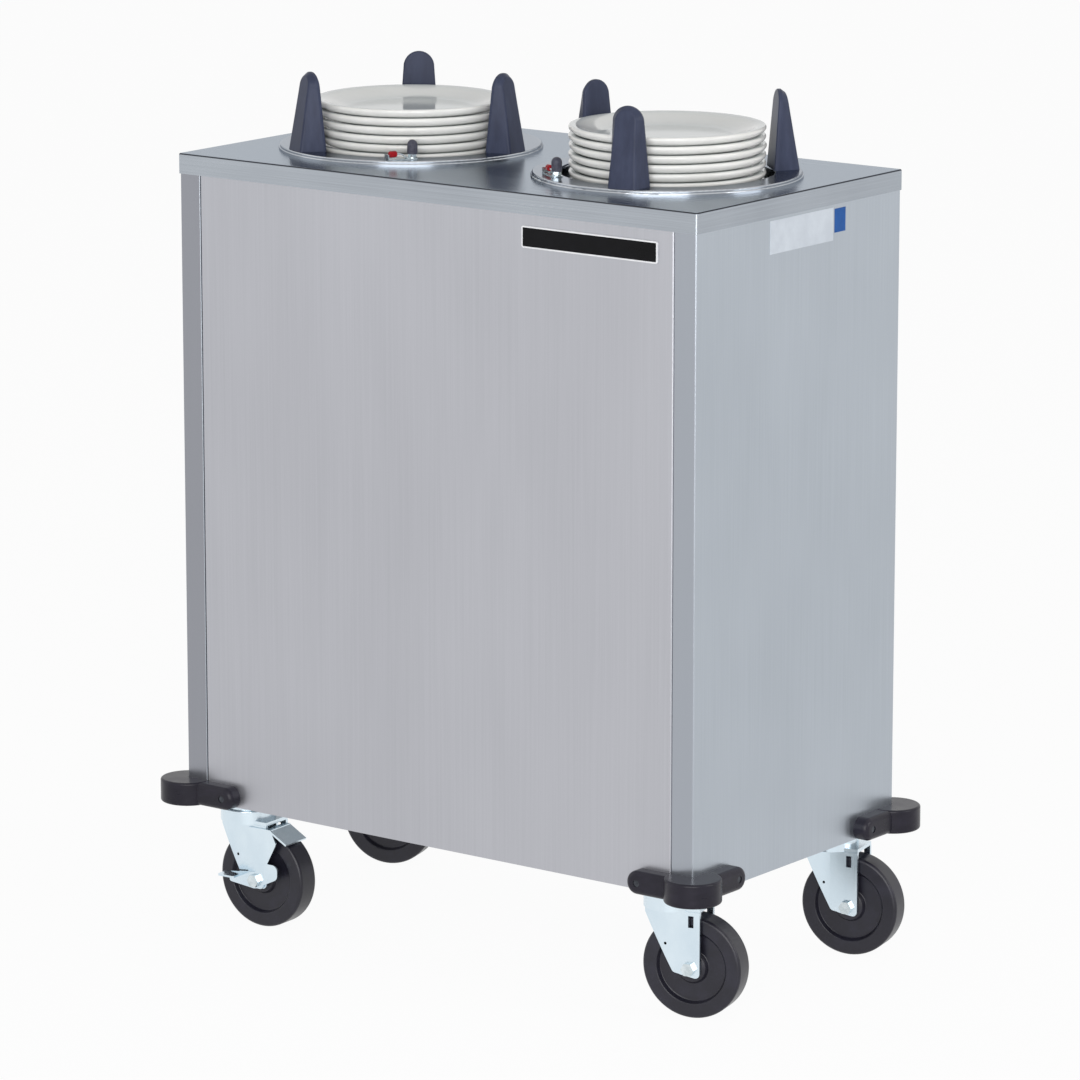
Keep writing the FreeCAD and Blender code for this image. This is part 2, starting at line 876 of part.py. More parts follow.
def lever_tip():
    # Dipped cap over the lever's raised end.
    middle = (lever_low + lever_top) / 2 + lever_rise
    end = lever_reach + tip_radius / 2
    sleeve = rod(tip_radius, (end - tip_length, 0, middle), (end, 0, middle))
    sleeve = sleeve.makeFillet(tip_radius * 0.75, [edge for edge in sleeve.Edges if edge.Closed])
    return cut(sleeve, lock_lever())


def carrier(top):
    plate = disc(carrier_radius, top - carrier_sheet, top)
    lip = disc(carrier_radius, top - carrier_rim, top - carrier_sheet)
    lip = lip.cut(disc(carrier_radius - carrier_sheet, top - 2 * carrier_rim, top))
    ring_top_z = top - carrier_drop + carrier_ring_height
    ring_low = top - carrier_drop
    middle = carrier_bar_radius - carrier_bar_thickness / 2
    ring = disc(middle + carrier_ring_width / 2, ring_low, ring_top_z)
    ring = ring.cut(disc(middle - carrier_ring_width / 2, ring_low - sheet, ring_top_z + sheet))
    bar = block((carrier_bar_radius - carrier_bar_thickness, -carrier_bar_width / 2, ring_low),
                (carrier_bar_radius, carrier_bar_width / 2, top - carrier_sheet))
    arm = block((middle, -carrier_arm_width / 2, ring_low),
                (carrier_arm_reach, carrier_arm_width / 2, ring_top_z))
    arm = arm.cut(disc(spring_wire + clearance, ring_low - sheet, ring_top_z + sheet,
                       spring_from_centre, 0))
    legs = [turn(shape, angle) for shape in (bar, arm) for angle in arm_angles()]
    return fuse(plate, lip, ring, *legs)


def springs(top):
    # Plain sleeves of the coils' size, with a headed hook through each end's hole.
    tab_under = spring_tab_top - spring_tab_thickness
    arm_low = top - carrier_drop
    arm_top = arm_low + carrier_ring_height
    coil_top = tab_under - spring_hook_length
    coil_low = arm_top + spring_hook_length
    coil = disc(spring_radius, coil_low, coil_top)
    core = disc(spring_radius - spring_wire, coil_low + spring_wire, coil_top - spring_wire)
    hook = disc(spring_wire, arm_low - running_gap, spring_tab_top + running_gap)
    middle = disc(spring_radius, coil_low + spring_wire, coil_top - spring_wire)
    eyes = [
        disc(spring_eye_radius, spring_tab_top + running_gap, spring_tab_top + running_gap + spring_wire),
        disc(spring_eye_radius, arm_low - running_gap - spring_wire, arm_low - running_gap),
    ]
    spring = fuse(coil.cut(core), hook.cut(middle), *eyes)
    spring = shift(spring, x=spring_from_centre)
    return [turn(spring, angle) for angle in arm_angles()]


def plate():
    # One plate with its foot on z = 0.
    well = plate_pitch
    under = well - plate_thickness
    foot = plate_foot_radius
    foot_out = foot + plate_foot_width
    rim_low = plate_height - plate_rim_height
    rim_in = plate_radius - plate_rim_width
    profile = [
        (0, under, 0),
        (foot, under, plate_foot_hollow),
        (foot, 0, plate_foot_hollow),
        (foot_out, 0, plate_foot_edge),
        (foot_out, under, plate_foot_edge),
        (plate_well_radius + plate_foot_width, under, plate_under_blend),
        (rim_in, rim_low, plate_rim_blend),
        (plate_radius, rim_low, plate_rim_roll),
        (plate_radius, plate_height, plate_rim_roll),
        (rim_in, plate_height, plate_rim_blend),
        (rim_in - plate_foot_width, rim_low + plate_thickness, plate_wall_blend),
        (plate_well_radius + plate_rim_width, well, plate_wall_blend),
        (0, well, 0),
    ]
    return turned(profile)


def plates(top, count):
    return [shift(plate(), z=top + index * plate_pitch) for index in range(count)]


# Casters, built with the swivel on the Z axis and the wheel trailing along +X


def caster_bolt_spots():
    return [(x * mount_bolt_x / 2, y * mount_bolt_y / 2) for x in (-1, 1) for y in (-1, 1)]


def caster_bolt_holes(low, high):
    radius = caster_bolt_radius + hole_clearance
    return [disc(radius, low, high, side_x * caster_x + x, side_y * caster_y + y)
            for side_x in (-1, 1) for side_y in (-1, 1) for x, y in caster_bolt_spots()]


def caster_bolts():
    bolts = []
    for side_x in (-1, 1):
        for side_y in (-1, 1):
            for x, y in caster_bolt_spots():
                x += side_x * caster_x
                y += side_y * caster_y
                end = channel_web + caster_nut_height + caster_bolt_end
                head = hexagon(caster_bolt_across, mount_under - caster_bolt_head,
                               caster_bolt_head, x, y)
                shank = disc(caster_bolt_radius, mount_under, end, x, y)
                nut = hexagon(caster_bolt_across, channel_web, caster_nut_height, x, y)
                bolts.append(fuse(head, shank, nut))
    return bolts


def caster_mount():
    half_x = mount_length / 2
    half_y = mount_width / 2
    corners = [(-half_x, -half_y, mount_corner), (half_x, -half_y, mount_corner),
               (half_x, half_y, mount_corner), (-half_x, half_y, mount_corner)]
    plate_shape = standing(corners, mount_under, mount_top)
    low = crown_top + raceway_gap
    race = disc(raceway_radius, low, mount_under)
    foot = [edge for edge in race.Edges if edge.Closed and near(edge.BoundBox.ZMin, low)]
    race = race.makeFillet(raceway_edge, foot)
    holes = [disc(caster_bolt_radius + hole_clearance, mount_under - sheet, mount_top + sheet, x, y)
             for x, y in caster_bolt_spots()]
    bore = disc(kingpin_radius + running_gap, crown_top, mount_top)
    seat = disc(kingpin_head_radius + hole_clearance, kingpin_seat, mount_top + sheet)
    return cut(fuse(plate_shape, race), bore, seat, *holes)


def leg_outline():
    front = caster_trail + leg_front
    bottom = wheel_radius - leg_bottom_drop
    back = front - leg_bottom_length
    return [
        (-cup_radius, crown_top, 0),
        (back, bottom + leg_bottom_rise, leg_corner),
        (front, bottom, leg_corner),
        (front, crown_top, 0),
    ]


def leg_plan(half, thickness):
    # Plan of one leg: flat beside the wheel, curving in behind it.
    front = caster_trail + leg_front
    centre = -half + leg_curve_radius
    back = -math.sqrt(cup_radius ** 2 - (half - cup_wall) ** 2)
    outside = []
    for radius in (leg_curve_radius, leg_curve_radius - thickness):
        middle_x = (back + leg_curve_start) / 2
        for x in (leg_curve_start, middle_x, back):
            run = leg_curve_start - x
            outside.append(Vector(x, centre - math.sqrt(radius ** 2 - run ** 2), 0))
    near_start, near_middle, near_end, far_start, far_middle, far_end = outside
    near_front = Vector(front, near_start.y, 0)
    far_front = Vector(front, far_start.y, 0)
    return Part.Face(Part.Wire([
        Part.makeLine(near_front, near_start),
        Part.Arc(near_start, near_middle, near_end).toShape(),
        Part.makeLine(near_end, far_end),
        Part.Arc(far_end, far_middle, far_start).toShape(),
        Part.makeLine(far_start, far_front),
        Part.makeLine(far_front, near_front),
    ]))


def fork_leg():
    # The leg on the -Y side.
    wall = leg_plan(leg_outer, leg_thickness).extrude(Vector(0, 0, crown_top))
    front = caster_trail + leg_front
    pad = block((caster_trail - leg_pad_back, -pad_outer, 0), (front, -leg_outer + hair, crown_under))
    reach = 2 * cup_radius
    side = plate_cut(leg_outline(), -reach, 0)
    slot_front = front - leg_slot_from_front
    slot_top_z = crown_under - leg_slot_below_crown
    slot = block((slot_front - leg_slot_width, -reach, slot_top_z - leg_slot_height),
                 (slot_front, 0, slot_top_z))
    hole = rod(leg_hole_radius, (0, -reach, wheel_radius + leg_hole_above_axle),
               (0, 0, wheel_radius + leg_hole_above_axle))
    axle_hole = rod(axle_radius + running_gap, (caster_trail, -reach, wheel_radius),
                    (caster_trail, 0, wheel_radius))
    return cut(fuse(wall, pad).common(side), slot, hole, axle_hole)


def caster_fork():
    leg = fork_leg()
    front = caster_trail + leg_front
    crown = fuse(disc(cup_radius, crown_under, crown_top),
                 block((0, -leg_outer, crown_under), (front, leg_outer, crown_top)))
    cup = disc(cup_radius, crown_top - cup_wall, cup_top)
    cup = cup.cut(disc(cup_radius - cup_wall, crown_top, cup_top + sheet))
    rim = [edge for edge in cup.Edges if edge.Closed and near(edge.BoundBox.ZMin, cup_top)
           and edge.BoundBox.XMax > cup_radius - cup_wall + hair]
    cup = cup.makeFillet(cup_wall / 2, rim)
    pin_top = kingpin_seat + clearance
    pin = disc(kingpin_radius, crown_under, pin_top)
    head = disc(kingpin_head_radius, pin_top, pin_top + kingpin_head_height)
    return fuse(crown, leg, flip_y(leg), cup, pin, head)


def caster_axle(stack):
    # Bolt, nut and the sleeve that the wheel turns on; stack is what the head clamps outside the leg.
    z = wheel_radius
    seat = -pad_outer - stack
    head = axle_hexagon(seat, -axle_head_height)
    far = pad_outer + axle_nut_height + axle_end
    shank = rod(axle_radius, (caster_trail, seat, z), (caster_trail, far, z))
    bolt = fuse(head, shank)
    nut = axle_hexagon(pad_outer, axle_nut_height).cut(shank)
    sleeve = rod(sleeve_radius, (caster_trail, -leg_inner, z), (caster_trail, leg_inner, z))
    sleeve = sleeve.cut(shank)
    return [bolt, nut, sleeve]


def axle_hexagon(y, height):
    shape = hexagon(axle_head_across, 0, abs(height))
    shape.rotate(origin, Vector(1, 0, 0), 90 if height < 0 else -90)
    return shift(shape, caster_trail, y, wheel_radius)


def wheel_section():
    # Half section about the axle, u across the wheel's width and v out from the axle.
    half = wheel_width / 2
    hub = hub_width / 2
    floor = half - wheel_recess_depth
    side = [
        (hub, sleeve_radius + running_gap, 0),
        (hub, hub_rim_radius, hub_edge),
        (hub - hub_cone, hub_radius, wheel_recess_edge),
        (floor, hub_radius + wheel_recess_slope, wheel_recess_edge),
        (floor, wheel_recess_radius - wheel_recess_slope, wheel_recess_edge),
        (half, wheel_recess_radius, wheel_recess_edge),
        (half, wheel_radius, wheel_edge),
    ]
    other = [(-u, v, radius) for u, v, radius in reversed(side)]
    return side + other


def caster_wheel():
    section = Part.Face(outline(wheel_section(), lambda u, v: Vector(0, u, v)))
    wheel = section.revolve(origin, Vector(0, 1, 0), 360)
    return shift(wheel, caster_trail, 0, wheel_radius)


# Wheel brakes, on the -Y side of a fork


def brake_shoe():
    # Strap hung on the axle beside the leg, with a pad over the tread.
    front = caster_trail + leg_front
    slope = math.radians(brake_pad_angle)
    reach = wheel_radius + brake_pad_gap
    middle = Vector(caster_trail + reach * math.cos(slope), 0, wheel_radius + reach * math.sin(slope))
    along = Vector(math.sin(slope), 0, -math.cos(slope))
    out = Vector(math.cos(slope), 0, math.sin(slope))
    start = middle - along * (brake_pad_length / 2)
    end = middle + along * (brake_pad_length / 2)
    far = wheel_width / 2 + brake_pad_overhang
    pad_points = [start, end, end + out * brake_sheet, start + out * brake_sheet]
    pad = plate_cut(square(*[(point.x, point.z) for point in pad_points]), -brake_outer, far)
    tab_low = start.z
    tab_back = front + hole_clearance + clearance
    tab = block((tab_back, -brake_outer, tab_low), (start.x + brake_sheet, far, tab_low + brake_sheet))
    eye = brake_eye_radius
    back = front - brake_strap_width
    strap = plate_cut([
        (caster_trail - eye, wheel_radius - eye, eye / 2),
        (caster_trail + eye, wheel_radius - eye, eye / 2),
        (caster_trail + eye, wheel_radius + eye, eye),
        (end.x - brake_tab_length, end.z, eye / 2),
        (start.x + brake_sheet, tab_low + brake_sheet, 0),
        (back, tab_low + brake_sheet, eye / 2),
    ], -brake_outer, -brake_inner)
    radius = axle_radius + hole_clearance
    low = (caster_trail, -2 * brake_outer, wheel_radius)
    travel_slot = fuse(rod(radius, low, (caster_trail, 0, wheel_radius)),
                       shift(rod(radius, low, (caster_trail, 0, wheel_radius)), z=brake_travel),
                       block((caster_trail - radius, -2 * brake_outer, wheel_radius),
                             (caster_trail + radius, 0, wheel_radius + brake_travel)))
    return cut(fuse(pad, tab, strap), travel_slot)


def brake_lever():
    # Turns on the axle bolt: a pedal arm one way, the cam lobe the other.
    z = wheel_radius
    half = pedal_arm_height / 2
    tip = caster_trail - pedal_reach
    cam_x = caster_trail + cam_reach
    cam_z = z + cam_rise
    arm = plate_cut([
        (tip, z - half, half / 2),
        (caster_trail, z - brake_eye_radius, brake_eye_radius),
        (cam_x + cam_radius, cam_z - cam_radius, cam_edge),
        (cam_x + cam_radius, cam_z + cam_radius, cam_edge),
        (cam_x - cam_radius, cam_z + cam_radius, cam_edge),
        (caster_trail, z + brake_eye_radius, brake_eye_radius),
        (tip, z + half, half / 2),
    ], -pedal_outer, -pedal_inner)
    pedal = block((tip - pedal_overhang, -pedal_outer - pedal_width, z + half - brake_sheet),
                  (tip + pedal_length, -pedal_inner, z + half))
    corners = [edge for edge in pedal.Edges
               if edge.BoundBox.ZLength > hair and edge.BoundBox.YMax < -pedal_outer]
    pedal = pedal.makeFillet(pedal_corner, corners)
    hole = rod(axle_radius + running_gap, (caster_trail, -2 * pedal_outer, z), (caster_trail, 0, z))
    return cut(fuse(arm, pedal), hole)


# Writing the pieces


def save(name, *shapes):
    shape = shapes[0] if len(shapes) == 1 else Part.makeCompound(list(shapes))
    sound = shape.isValid() and all(solid.Volume > 0 for solid in shape.Solids)
    print(f"{name}: {len(shape.Solids)} solids, {shape.Volume / 1000:.1f} cm3, sound {sound}")
    shape.exportStep(os.path.join("parts", name + ".step"))


def save_cabinet():
    save("front_panel", front_panel())
    save("back_panel", flip_y(front_panel()))
    side = right_side_panel()
    save("right_side_panel", side)
    save("left_side_panel", flip_x(side))
    save("top_cap", top_cap())
    save("base_pan", base_pan())
    save("base_channels", *base_channels())
    save("panel_rivets", *panel_rivets())
    bumper = front_right_bumper()
    save("front_right_bumper", bumper)
    save("front_left_bumper", flip_x(bumper))
    save("back_right_bumper", flip_y(bumper))
    save("back_left_bumper", flip_x(flip_y(bumper)))
    save("bumper_screws", *bumper_screws())
    save("badge_plate", badge_plate())
    save("rating_label", rating_label())
    save("inspection_sticker", inspection_sticker())


def at_stud(shape, x, stud_angle, lever_turn):
    along, across = polar(stud_from_centre, stud_angle)
    return shift(turn(shape, stud_angle + lever_turn), x + along, across)


def save_silo(side, x, guides, stud_angle, lever_turn, grooved, carrier_top, count):
    save(f"{side}_flange_ring", shift(flange_ring(guides.values(), stud_angle, grooved), x=x))
    save(f"{side}_silo_tube", shift(silo_tube(), x=x))
    guide = plate_guide()
    for place, angle in guides.items():
        save(f"{side}_silo_{place}_guide", shift(turn(guide, angle), x=x))
    save(f"{side}_lock_lever", at_stud(lock_lever(), x, stud_angle, lever_turn))
    save(f"{side}_lever_tip", at_stud(lever_tip(), x, stud_angle, lever_turn))
    save(f"{side}_carrier", shift(carrier(carrier_top), x=x))
    save(f"{side}_springs", *[shift(spring, x=x) for spring in springs(carrier_top)])
    save(f"{side}_plates", *[shift(shape, x=x) for shape in plates(carrier_top, count)])


def save_silos():
    save_silo("left", -silo_x, left_guides, left_stud_angle, left_lever_turn, False,
              left_carrier_top, left_plate_count)
    save_silo("right", silo_x, right_guides, right_stud_angle, right_lever_turn, True,
              right_carrier_top, right_plate_count)
    save("guide_screws", *[shift(screw, x=x) for x, guides in ((-silo_x, left_guides),
                                                               (silo_x, right_guides))
                           for screw in guide_screws(guides.values())])
    studs = ((-silo_x, left_stud_angle, left_lever_turn),
             (silo_x, right_stud_angle, right_lever_turn))
    save("lock_studs", *[at_stud(shape, *stud) for stud in studs
                         for shape in (lock_stud(), lock_strap())])
    save("lock_caps", *[at_stud(lock_cap(), *stud) for stud in studs])


def save_caster(place, x, y, swivel, braked):
    stack = pedal_outer - pad_outer + clearance if braked else 0.0
    pieces = {"caster_fork": [caster_fork()], "axle": caster_axle(stack), "wheel": [caster_wheel()]}
    if braked:
        pieces["brake_shoe"] = [brake_shoe()]
        pieces["brake_lever"] = [brake_lever()]
    save(f"{place}_caster_mount", shift(caster_mount(), x, y))
    for name, shapes in pieces.items():
        save(f"{place}_{name}", *[shift(turn(shape, swivel), x, y) for shape in shapes])


def save_casters():
    save_caster("front_left", -caster_x, -caster_y, front_left_swivel, True)
    save_caster("front_right", caster_x, -caster_y, front_right_swivel, False)
    save_caster("back_right", caster_x, caster_y, back_right_swivel, False)
    save_caster("back_left", -caster_x, caster_y, back_left_swivel, True)
    save("caster_bolts", *caster_bolts())


os.makedirs("parts", exist_ok=True)
save_cabinet()
save_silos()
save_casters()
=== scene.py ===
import bpy
import math
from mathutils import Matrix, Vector


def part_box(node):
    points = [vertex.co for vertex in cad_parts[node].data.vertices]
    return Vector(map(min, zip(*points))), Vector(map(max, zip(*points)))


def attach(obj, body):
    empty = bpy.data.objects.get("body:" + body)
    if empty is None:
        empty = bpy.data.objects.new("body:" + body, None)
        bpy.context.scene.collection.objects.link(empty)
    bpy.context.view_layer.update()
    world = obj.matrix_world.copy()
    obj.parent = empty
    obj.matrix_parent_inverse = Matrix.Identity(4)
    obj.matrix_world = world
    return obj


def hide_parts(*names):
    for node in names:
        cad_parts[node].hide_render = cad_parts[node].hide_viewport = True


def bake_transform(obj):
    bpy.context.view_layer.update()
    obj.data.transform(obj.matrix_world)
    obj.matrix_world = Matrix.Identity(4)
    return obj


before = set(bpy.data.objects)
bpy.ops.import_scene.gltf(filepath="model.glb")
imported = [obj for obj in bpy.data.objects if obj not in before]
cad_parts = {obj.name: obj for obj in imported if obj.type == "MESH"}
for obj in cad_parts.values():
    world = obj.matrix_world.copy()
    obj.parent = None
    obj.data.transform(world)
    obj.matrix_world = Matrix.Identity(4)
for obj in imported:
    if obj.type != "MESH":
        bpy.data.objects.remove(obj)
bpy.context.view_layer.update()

# sizes are written in millimetres, and divided by this they are metres
perMetre = 1000
mergeDistance = 0.00001


print("frame loaded")

grainDetail = {"streak": 3.0, "cloud": 2.0, "scuff": 4.0, "grit": 2.0}
grainRoughness = 0.6
toneRange = (0.35, 0.65)
scuffRange = (0.3, 0.7)
cloudShare = {"sheet": 0.45, "spun": 0.4}
bumpStrength = {"sheet": 0.35, "spun": 0.3, "moulded": 0.5}
plainGloss = 0.5
wholeRange = (0, 1)
facingRange = {"side": (0, 1), "flange": (0.5, 0.9), "tilted": (0.005, 0.08),
               "level": (0.85, 0.99), "levelShade": (0.75, 1)}
# crossed with the normal it gives a tangent that lies level on every face
nearlyUp = (0.0, 0.05, 1.0)


def hexColour(code):
    # sRGB hex to the linear colour that the shaders want, by the sRGB standard's own curve
    parts = [int(code[place:place + 2], 16) / 255 for place in (1, 3, 5)]
    linear = [part / 12.92 if part <= 0.04045 else ((part + 0.055) / 1.055) ** 2.4
              for part in parts]
    return (*linear, 1.0)


def addNode(tree, kind, settings=None, links=None):
    node = tree.nodes.new(kind)
    for name, value in (settings or {}).items():
        if isinstance(name, str) and hasattr(node, name):
            setattr(node, name, value)
        else:
            node.inputs[name].default_value = value
    for name, source in (links or {}).items():
        tree.links.new(source, node.inputs[name])
    return node


def newMaterial(name):
    material = bpy.data.materials.new(name)
    material.use_nodes = True
    tree = material.node_tree
    tree.nodes.clear()
    return material, tree


def finishMaterial(tree, shader):
    addNode(tree, "ShaderNodeOutputMaterial", links={"Surface": shader.outputs[0]})


def dress(nodeNames, material):
    for nodeName in nodeNames:
        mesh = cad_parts[nodeName].data
        mesh.materials.clear()
        mesh.materials.append(material)


def grainNoise(tree, place, reach, detail):
    # reach is how far one streak goes along x, y and z, in millimetres
    scale = [perMetre / length for length in reach]
    mapping = addNode(tree, "ShaderNodeMapping", {"Scale": scale}, {"Vector": place})
    noise = addNode(tree, "ShaderNodeTexNoise",
                    {"Scale": 1.0, "Detail": detail, "Roughness": grainRoughness},
                    {"Vector": mapping.outputs[0]})
    return noise.outputs[0]


def spread(tree, source, reach, target):
    # what lies inside reach is stretched over target, what lies outside stays at its ends
    stretched = addNode(tree, "ShaderNodeMapRange",
                        {"From Min": reach[0], "From Max": reach[1],
                         "To Min": target[0], "To Max": target[1]}, {"Value": source})
    return stretched.outputs[0]


def blendColours(tree, factor, first, second):
    mix = addNode(tree, "ShaderNodeMix", {"data_type": "RGBA"})
    tree.links.new(factor, mix.inputs[0])
    for socket, colour in ((mix.inputs[6], first), (mix.inputs[7], second)):
        if isinstance(colour, str):
            socket.default_value = hexColour(colour)
        else:
            tree.links.new(colour, socket)
    return mix.outputs[2]


def facing(tree, normal, axis, reach):
    # zero where the surface looks away from an axis, one where it looks along it, either way
    parts = addNode(tree, "ShaderNodeSeparateXYZ", links={0: normal})
    square = addNode(tree, "ShaderNodeMath", {"operation": "MULTIPLY"},
                     {0: parts.outputs[axis], 1: parts.outputs[axis]})
    return spread(tree, square.outputs[0], reach, wholeRange)


def steelTone(tree, look, place, grain, share):
    # grain and slow clouds add up to one tone, which sets both the colour and the roughness
    cloud = grainNoise(tree, place, look["cloud"], grainDetail["cloud"])
    tone = addNode(tree, "ShaderNodeMix", {0: share}, {2: grain, 3: cloud}).outputs[0]
    colour = blendColours(tree, spread(tree, tone, toneRange, wholeRange),
                          look["dark"], look["light"])
    return colour, spread(tree, tone, toneRange, look["rough"])


def finishSteel(tree, look, colour, roughness, grain, tangent, strength):
    bump = addNode(tree, "ShaderNodeBump",
                   {"Strength": strength, "Distance": look["depth"] / perMetre},
                   {"Height": grain})
    shader = addNode(tree, "ShaderNodeBsdfPrincipled",
                     {"Metallic": 1.0, "Anisotropic": look["stretch"],
                      "Specular Tint": hexColour(look["edge"])},
                     {"Base Color": colour, "Roughness": roughness,
                      "Normal": bump.outputs[0], "Tangent": tangent})
    finishMaterial(tree, shader)


# Stainless sheet, brushed: fine straight streaks that stretch each reflection across the grain
def brushedStainless(name, look):
    material, tree = newMaterial(name)
    place = addNode(tree, "ShaderNodeTexCoord").outputs["Object"]
    normal = addNode(tree, "ShaderNodeNewGeometry").outputs["Normal"]
    grain = grainNoise(tree, place, look["streak"], grainDetail["streak"])
    if look.get("sideStreak"):
        # on the faces that look along X the grain runs the other way
        turned = grainNoise(tree, place, look["sideStreak"], grainDetail["streak"])
        side = facing(tree, normal, "X", facingRange["side"])
        grain = addNode(tree, "ShaderNodeMix", links={0: side, 2: grain, 3: turned}).outputs[0]
    colour, roughness = steelTone(tree, look, place, grain, cloudShare["sheet"])
    if look.get("flange"):
        # painted reflection: the narrow flanges that face front and back are darkened, standing
        # in for the darker part of the room they mirror
        flange = facing(tree, normal, "Y", facingRange["flange"])
        colour = blendColours(tree, flange, colour, look["flange"])
    if look.get("bendReflection"):
        # painted reflection: the rolled edge between top and skirt is drawn as a thin dark
        # line, for the dark of the room it mirrors
        tilted = facing(tree, normal, "Z", facingRange["tilted"])
        level = facing(tree, normal, "Z", facingRange["level"])
        edge = addNode(tree, "ShaderNodeMath", {"operation": "SUBTRACT"}, {0: tilted, 1: level})
        colour = blendColours(tree, edge.outputs[0], colour, look["bendReflection"])
    across = addNode(tree, "ShaderNodeVectorMath",
                     {"operation": "CROSS_PRODUCT", 1: nearlyUp}, {0: normal})
    finishSteel(tree, look, colour, roughness, grain, across.outputs[0], bumpStrength["sheet"])
    return material


# Stainless ring, spun on a lathe: streaks run round the centre and pull highlights outwards
def spunStainless(name, look, centre):
    material, tree = newMaterial(name)
    place = addNode(tree, "ShaderNodeTexCoord").outputs["Object"]
    local = addNode(tree, "ShaderNodeVectorMath", {"operation": "SUBTRACT", 1: centre},
                    {0: place})
    parts = addNode(tree, "ShaderNodeSeparateXYZ", links={0: local.outputs[0]})
    flatPlace = addNode(tree, "ShaderNodeCombineXYZ",
                        links={0: parts.outputs["X"], 1: parts.outputs["Y"]}).outputs[0]
    radius = addNode(tree, "ShaderNodeVectorMath", {"operation": "LENGTH"}, {0: flatPlace})
    rings = addNode(tree, "ShaderNodeCombineXYZ",
                    links={0: radius.outputs["Value"], 1: parts.outputs["Z"]})
    grain = grainNoise(tree, rings.outputs[0], look["streak"], grainDetail["streak"])
    colour, roughness = steelTone(tree, look, place, grain, cloudShare["spun"])
    finishSteel(tree, look, colour, roughness, grain, flatPlace, bumpStrength["spun"])
    return material


# Anything moulded, cast or plated with no direction: two tones, a fine bump and uneven gloss
def mouldedSurface(name, look):
    material, tree = newMaterial(name)
    place = addNode(tree, "ShaderNodeTexCoord").outputs["Object"]
    scuff = grainNoise(tree, place, look["scuff"], grainDetail["scuff"])
    grit = grainNoise(tree, place, [look["grit"]] * 3, grainDetail["grit"])
    colour = blendColours(tree, spread(tree, scuff, look["from"], wholeRange),
                          look["dark"], look["light"])
    if look.get("levelShade"):
        # painted shade: the glaze is greyed where it lies level, standing in for the weak light
        # from above
        normal = addNode(tree, "ShaderNodeNewGeometry").outputs["Normal"]
        level = facing(tree, normal, "Z", facingRange["levelShade"])
        colour = blendColours(tree, level, colour, look["levelShade"])
    roughness = spread(tree, scuff, scuffRange, look["rough"])
    bump = addNode(tree, "ShaderNodeBump",
                   {"Strength": bumpStrength["moulded"], "Distance": look["depth"] / perMetre},
                   {"Height": grit})
    shader = addNode(tree, "ShaderNodeBsdfPrincipled",
                     {"Metallic": look["metal"], "IOR": look["ior"],
                      "Specular IOR Level": look.get("gloss", plainGloss)},
                     {"Base Color": colour, "Roughness": roughness,
                      "Normal": bump.outputs[0]})
    finishMaterial(tree, shader)
    return material


# No. 4 finish: real grit lines are about 0.2 mm wide, drawn near 1.5 mm so that they show
panelLook = {"streak": (1.6, 1.6, 260), "cloud": (200, 200, 500), "dark": "#b2b3b9",
             "light": "#b9bac0", "edge": "#ffffff", "rough": (0.34, 0.4), "depth": 0.008,
             "stretch": 0.55}
# the flange colours are a painted reflection, darker on the left side
rightSideLook = {"streak": (1.6, 1.6, 260), "cloud": (160, 160, 300), "dark": "#aeb5bd",
                 "light": "#b7bec6", "flange": "#a4a9b1", "edge": "#ffffff",
                 "rough": (0.28, 0.34), "depth": 0.008, "stretch": 0.6}
leftSideLook = dict(rightSideLook, flange="#96989f")
# the dark colour on the rolled edge is a painted reflection
topLook = {"streak": (260, 1.6, 1.6), "sideStreak": (1.6, 260, 1.6), "cloud": (220, 120, 120),
           "dark": "#a3a9b0", "light": "#b0b6bd", "bendReflection": "#3f4147", "edge": "#d6dbe1",
           "rough": (0.2, 0.28), "depth": 0.01, "stretch": 0.45}
# Mill finish, as rolled: duller and greyer, for the sheet that is seldom seen
hiddenSheetLook = {"streak": (1.8, 1.8, 180), "cloud": (120, 120, 200), "dark": "#a3a5a8",
                   "light": "#b4b6b9", "edge": "#ffffff", "rough": (0.32, 0.42), "depth": 0.01,
                   "stretch": 0.4}
ringLook = {"streak": (1.2, 6, 6), "cloud": (90, 90, 90), "dark": "#aeb2b7", "light": "#bdc0c4",
            "edge": "#ccd0d6", "rough": (0.14, 0.22), "depth": 0.01, "stretch": 0.5}

bodySets = {
    "brushed_panel": (["front_panel", "back_panel"], panelLook),
    "brushed_right_side": (["right_side_panel"], rightSideLook),
    "brushed_left_side": (["left_side_panel"], leftSideLook),
    "brushed_cap": (["top_cap"], topLook),
    "mill_sheet": (["base_pan", "base_channels", "left_silo_tube", "right_silo_tube",
                    "left_carrier", "right_carrier"], hiddenSheetLook),
}
for name, (nodeNames, look) in bodySets.items():
    dress(nodeNames, brushedStainless(name, look))
for side in ("left", "right"):
    low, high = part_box(side + "_flange_ring")
    centre = ((low.x + high.x) / 2, 0.0, 0.0)
    dress([side + "_flange_ring"], spunStainless(side + "_spun_ring", ringLook, centre))

corners = ("front_left", "front_right", "back_left", "back_right")
# Polypropylene, injection moulded: satin and slightly blue, paler along the flow
plasticLook = {"scuff": (14, 14, 60), "grit": 1.2, "dark": "#383d50", "light": "#464c62",
               "from": (0.35, 0.8), "rough": (0.3, 0.36), "depth": 0.012, "metal": 0.0,
               "ior": 1.5, "gloss": 0.12}
# Soft rubber, moulded: nearly black, with broad dull highlights
bumperLook = {"scuff": (30, 30, 12), "grit": 1.2, "dark": "#1f1d27", "light": "#2a2733",
              "from": (0.45, 0.8), "rough": (0.26, 0.36), "depth": 0.02, "metal": 0.0,
              "ior": 1.4, "gloss": 0.35}
# Hard rubber, moulded: black, a little polished by the floor
tyreLook = {"scuff": (25, 25, 25), "grit": 0.9, "dark": "#1d1c26", "light": "#282734",
            "from": (0.45, 0.8), "rough": (0.3, 0.4), "depth": 0.03, "metal": 0.0, "ior": 1.45}
